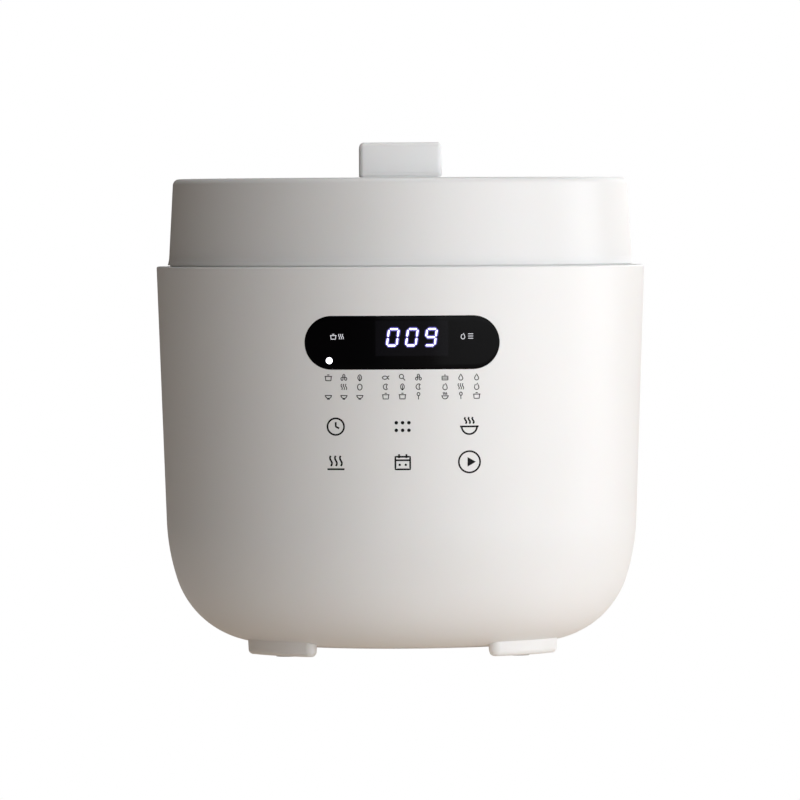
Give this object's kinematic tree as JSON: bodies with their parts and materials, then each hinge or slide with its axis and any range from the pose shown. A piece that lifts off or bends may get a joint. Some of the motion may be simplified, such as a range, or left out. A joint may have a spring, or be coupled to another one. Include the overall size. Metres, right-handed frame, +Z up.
{
  "type": "electric pressure cooker",
  "caption": "Round white electric pressure cooker with a bayonet lid, bar handle, black display window, lift-out pot, valve and feet.",
  "frame": {"origin": "on the floor under the middle of the round body", "axes": "+Z up, -Y out of the front panel, +X to the right seen from the front"},
  "size_m": [0.3, 0.3, 0.3122],
  "materials": {
    "body_white": "satin",
    "lid_white": "satin",
    "handle_white": "satin",
    "inner_white": "matte",
    "window_black": "gloss",
    "dark_plastic": "matte",
    "steel": "satin",
    "zinc_steel": "satin",
    "cast_aluminium": "satin",
    "pot_coating": "satin",
    "pcb_green": "satin",
    "silicone": "satin",
    "pad_rubber": "matte",
    "felt": "matte",
    "relay_blue": "satin",
    "coil_tape": "satin",
    "ivory_plastic": "satin",
    "float_red": "satin"
  },
  "bodies": {
    "base": {"outer_shell": "body_white", "top_collar": "inner_white", "collar_screws": "zinc_steel", "lock_ring": "steel", "liner": "steel", "insulation": "felt", "heater_plate": "cast_aluminium", "heater_tube": "zinc_steel", "heater_mounts": "zinc_steel", "sensor_bracket": "zinc_steel", "sensor_spring": "steel", "base_plate": "body_white", "chassis_posts": "zinc_steel", "base_screws": "zinc_steel", "feet": "body_white", "foot_pads": "pad_rubber", "display_lens": "window_black", "board_bracket": "dark_plastic", "control_board": "pcb_green", "led_display": "dark_plastic", "touch_springs": "steel", "power_board": "pcb_green", "relay": "relay_blue", "transformer": "coil_tape", "thermal_fuse": "ivory_plastic", "pressure_switch": "ivory_plastic", "inlet_housing": "dark_plastic", "inlet_pins": "steel", "cup_holder": "inner_white"},
    "sensor": {"sensor_cap": "cast_aluminium"},
    "drip_cup": {"drip_cup": "inner_white"},
    "pot": {"inner_pot": "pot_coating"},
    "inner_lid": {"inner_lid_plate": "cast_aluminium", "inner_lid_grommet": "silicone", "sealing_ring": "silicone"},
    "lid": {"lid_shell": "lid_white", "lid_liner": "inner_white", "lid_plate": "steel", "lid_stud": "steel", "stud_nut": "zinc_steel", "lid_screws": "zinc_steel", "handle_base": "handle_white", "handle_cover": "handle_white", "handle_screws": "zinc_steel", "vent_pipe": "steel", "vent_nut": "zinc_steel", "anti_clog_cap": "steel", "float_guide": "steel", "interlock_bracket": "zinc_steel", "interlock_spring": "steel"},
    "valve": {"valve_knob": "handle_white"},
    "weight": {"valve_weight": "steel"},
    "float": {"float_pin": "float_red", "float_seal": "silicone"},
    "slider": {"interlock_slider": "inner_white"}
  },
  "joints": [
    {"name": "pot_lift", "type": "slide", "parent": "base", "child": "pot", "axis": [0, 0, 1], "range_m": [0, 0.2]},
    {"name": "lid_lift", "type": "slide", "parent": "pot", "child": "inner_lid", "axis": [0, 0, 1], "range_m": [0, 0.2]},
    {"name": "lid_turn", "type": "hinge", "parent": "inner_lid", "child": "lid", "pos_m": [0, 0, 0.26], "axis": [0, 0, -1], "range_deg": [0, 22.5]},
    {"name": "valve_turn", "type": "hinge", "parent": "lid", "child": "valve", "pos_m": [0, 0.098, 0.29], "axis": [0, 0, 1], "range_deg": [0, 60]},
    {"name": "weight_lift", "type": "slide", "parent": "valve", "child": "weight", "axis": [0, 0, 1], "range_m": [0, 0.002]},
    {"name": "float_rise", "type": "slide", "parent": "lid", "child": "float", "axis": [0, 0, 1], "range_m": [0, 0.005]},
    {"name": "interlock_slide", "type": "slide", "parent": "lid", "child": "slider", "axis": [-0.2504, -0.9681, 0], "range_m": [0, 0.004], "deforming": ["interlock_spring"]},
    {"name": "sensor_press", "type": "slide", "parent": "base", "child": "sensor", "axis": [0, 0, 1], "range_m": [-0.003, 0], "stiffness_N_per_m": 300, "springref_m": 0.003, "deforming": ["sensor_spring"]},
    {"name": "cup_pull", "type": "slide", "parent": "base", "child": "drip_cup", "axis": [0, 1, 0], "range_m": [0, 0.06]}
  ],
  "couplings": [
    {"joint": "interlock_slide", "follows": "lid_turn", "m_per_rad": 0.010186}
  ]
}
